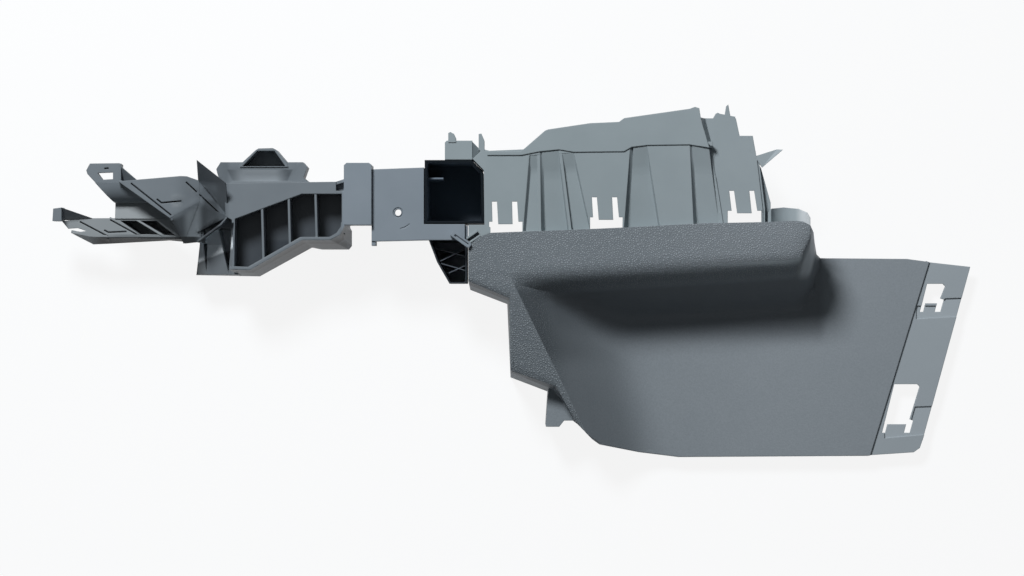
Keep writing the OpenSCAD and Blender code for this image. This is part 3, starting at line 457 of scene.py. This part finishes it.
# The two wedge slots of the box's left end are pockets, closed below the floor. Their rims
# follow the floor, and sink towards the tip.
end_floor_height = -0.0268
tip_height = -0.034
cups = [
    wedge_cup("narrow_pocket",
              [(-0.159, -0.0244), (-0.1558, -0.0244), (-0.1574, -0.0472)],
              [end_floor_height, end_floor_height, tip_height]),
    wedge_cup("wide_pocket",
              [(-0.1468, -0.012), (-0.1366, -0.012), (-0.1366, -0.024), (-0.1395, -0.048)],
              [end_floor_height, end_floor_height, end_floor_height, tip_height]),
]
arm = moulded_copy("support_arm", "arm_moulding", sharp_degrees=38, added=cups)
arm.data.materials.append(arm_finish())
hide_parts("support_arm")
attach(arm, "root")

# Pocket insert
#
# A black box, moulded of the same kind of plastic and open towards the show face. It stands in
# the opening between the two grey mouldings with a small clearance.


def pocket_finish():
    f = Finish(bpy.data.materials.new("black_pocket_plastic"))
    place = f.place()
    x, y, z = f.axes(place)
    black = f.tint(f.noise(place, 60, 2), shade(14, 20, 25), shade(19, 25, 30))

    # In the photo more light reaches the box's inside than one lamp gives, so it is paler there
    within = f.between(x, (0.0223, 0.0235), (0.0668, 0.068))
    within = within * f.between(y, (-0.0077, -0.0065), (0.0398, 0.041))
    within = within * f.between(z, (-0.0652, -0.0645), (-0.002, -0.001))
    inside = f.tint(f.rise(z, -0.06, -0.03), shade(88, 99, 110), shade(100, 112, 124))
    colour = f.tint(within, black, inside)
    fine = f.noise(place, 1200, 2)
    fine_depth = 0.00005
    f.plastic(colour, f.rise(fine, 0.2, 0.8, 0.55, 0.7), f.relief(fine, fine_depth), 0.05)
    return f.owner


pocket = moulded_copy("pocket_insert", "pocket_box")
pocket.data.materials.append(pocket_finish())
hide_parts("pocket_insert")
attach(pocket, "root")

# Studio
#
# A plain white table with one large soft lamp above the trim's upper left, and a camera that
# looks straight down on it, as the trim was laid out to be pictured.
clearance = 0.0002
table_height = cad_box[0].z - clearance
reach = 40.0
floor_mesh = bpy.data.meshes.new("floor")
floor_mesh.from_pydata(
    [(-reach, -reach, table_height), (reach, -reach, table_height),
     (reach, reach, table_height), (-reach, reach, table_height)],
    [], [(0, 1, 2, 3)],
)
floor = bpy.data.objects.new("floor", floor_mesh)
bpy.context.collection.objects.link(floor)


def seen_rays(finish):
    """1 for rays that show what they meet: from the camera, off a gloss or through glass."""
    camera, glossy, through = [
        finish.node("ShaderNodeLightPath", {}, {}, "Is %s Ray" % kind)
        for kind in ("Camera", "Glossy", "Transmission")
    ]
    return finish.calculate("MINIMUM", camera + glossy + through, 1.0)


# The table is matt to the light that falls on it, and mostly plain white where it is seen
white = (1.0, 1.0, 1.0, 1.0)
white_share = 0.84
table = Finish(bpy.data.materials.new("white_table"))
matt = table.node("ShaderNodeBsdfDiffuse", {}, {"Color": (0.42, 0.46, 0.5, 1.0)})
glow = table.node("ShaderNodeEmission", {}, {"Color": white, "Strength": 1.06})
mixed = table.node("ShaderNodeMixShader", {}, {0: seen_rays(table) * white_share, 1: matt, 2: glow})
table.node("ShaderNodeOutputMaterial", {}, {"Surface": mixed})
floor_mesh.materials.append(table.owner)

# The room gives a dim bluish light, and is white where it is seen
sky = Finish(bpy.data.worlds.new("studio"))
dim = sky.node("ShaderNodeBackground", {}, {"Color": (0.86, 0.94, 1.0, 1.0), "Strength": 0.07})
backdrop = sky.node("ShaderNodeBackground", {}, {"Color": white, "Strength": 1.0})
chosen = sky.node("ShaderNodeMixShader", {}, {0: seen_rays(sky), 1: dim, 2: backdrop})
sky.node("ShaderNodeOutputWorld", {}, {"Surface": chosen})
bpy.context.scene.world = sky.owner

lamp_aim = Vector((0.09, -0.06, 0.0))
lamp_way = Vector((-0.42, 0.9, 1.0)).normalized()
lamp_distance = 1.9
lamp_data = bpy.data.lights.new("soft_lamp", "AREA")
lamp_data.shape = "DISK"
lamp_data.size = 0.5
lamp_data.energy = 48.0
lamp = bpy.data.objects.new("soft_lamp", lamp_data)
lamp.location = lamp_aim + lamp_way * lamp_distance
lamp.rotation_euler = lamp_way.to_track_quat("Z", "Y").to_euler()
bpy.context.collection.objects.link(lamp)

# The picture is 819.2 mm wide on the rail's top face, seen from 1.93 m above it
camera_height = 1.93
picture_width = 0.8192
sensor_width = 36.0
camera_data = bpy.data.cameras.new("camera")
camera_data.sensor_width = sensor_width
camera_data.lens = sensor_width * camera_height / picture_width
camera = bpy.data.objects.new("camera", camera_data)
camera.location = (0.0912, -0.0604, camera_height)
bpy.context.collection.objects.link(camera)
bpy.context.scene.camera = camera
bpy.context.scene.view_settings.view_transform = "Standard"
